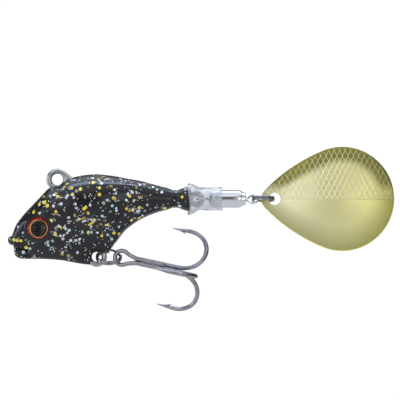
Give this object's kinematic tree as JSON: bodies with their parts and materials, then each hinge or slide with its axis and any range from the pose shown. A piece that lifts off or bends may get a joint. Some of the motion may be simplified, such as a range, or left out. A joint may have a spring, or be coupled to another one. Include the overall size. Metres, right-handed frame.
{
  "type": "tail spinner jig",
  "caption": "Weighted fish-shaped lure with a line tie on its back, a swivelling cupped blade at its tail and a treble hook under its belly.",
  "frame": {"origin": "centre of the line tie's hole", "axes": "+X from the nose to the tail blade, +Y through the line tie to the fish's right flank, +Z to the fish's back"},
  "size_m": [0.0732, 0.0154, 0.0311],
  "materials": {
    "black_glitter_paint": "glossy near-black paint with gold and silver round glitter under a clear coat",
    "stainless_wire": "drawn stainless wire, lightly polished",
    "red_foil": "metallic red foil",
    "gold_foil": "bright gold foil line",
    "black_print": "gloss black print",
    "clear_dome": "clear epoxy dome",
    "clear_silicone": "translucent clear silicone with soft bluish highlights",
    "bright_nickel": "polished nickel plate",
    "ring_steel": "nickel-plated spring steel",
    "gold_blade": "olive-gold plated blade, embossed on one half",
    "black_nickel": "black nickel hook wire",
    "braze_metal": "plated braze fillet"
  },
  "bodies": {
    "lure_body": {"body_casting": "black_glitter_paint", "wire_form": "stainless_wire", "left_eye_foil": "red_foil", "right_eye_foil": "red_foil", "left_eye_gold_ring": "gold_foil", "right_eye_gold_ring": "gold_foil", "left_eye_pupil": "black_print", "right_eye_pupil": "black_print", "left_eye_dome": "clear_dome", "right_eye_dome": "clear_dome", "tail_sleeve": "clear_silicone", "swivel_barrel": "bright_nickel", "swivel_front_eye": "bright_nickel"},
    "swivel_eye": {"swivel_rear_eye": "bright_nickel"},
    "tail_ring": {"tail_split_ring": "ring_steel"},
    "blade": {"spinner_blade": "gold_blade"},
    "belly_ring": {"belly_split_ring": "ring_steel"},
    "treble": {"treble_eyed_hook": "black_nickel", "treble_double_hook": "black_nickel", "treble_braze": "braze_metal"}
  },
  "joints": [
    {"name": "swivel_spin", "type": "hinge", "parent": "lure_body", "child": "swivel_eye", "pos_m": [0.03714, 0, -0.0037], "axis": [1, 0, 0], "continuous": true},
    {"name": "tail_ring_swing", "type": "hinge", "parent": "swivel_eye", "child": "tail_ring", "pos_m": [0.03714, 0, -0.0037], "axis": [0, 0.1392, 0.9903], "range_deg": [-24, 24]},
    {"name": "blade_swing", "type": "hinge", "parent": "tail_ring", "child": "blade", "pos_m": [0.03913, 0, -0.0037], "axis": [0, 0.1392, 0.9903], "range_deg": [-45, 45]},
    {"name": "belly_ring_swing", "type": "hinge", "parent": "lure_body", "child": "belly_ring", "pos_m": [0.0075, 0, -0.0147], "axis": [0, 1, 0], "range_deg": [-6, 95]},
    {"name": "treble_swing", "type": "hinge", "parent": "belly_ring", "child": "treble", "pos_m": [0.00979, 0, -0.01475], "axis": [0, -0.4848, 0.8746], "range_deg": [-45, 35]}
  ]
}
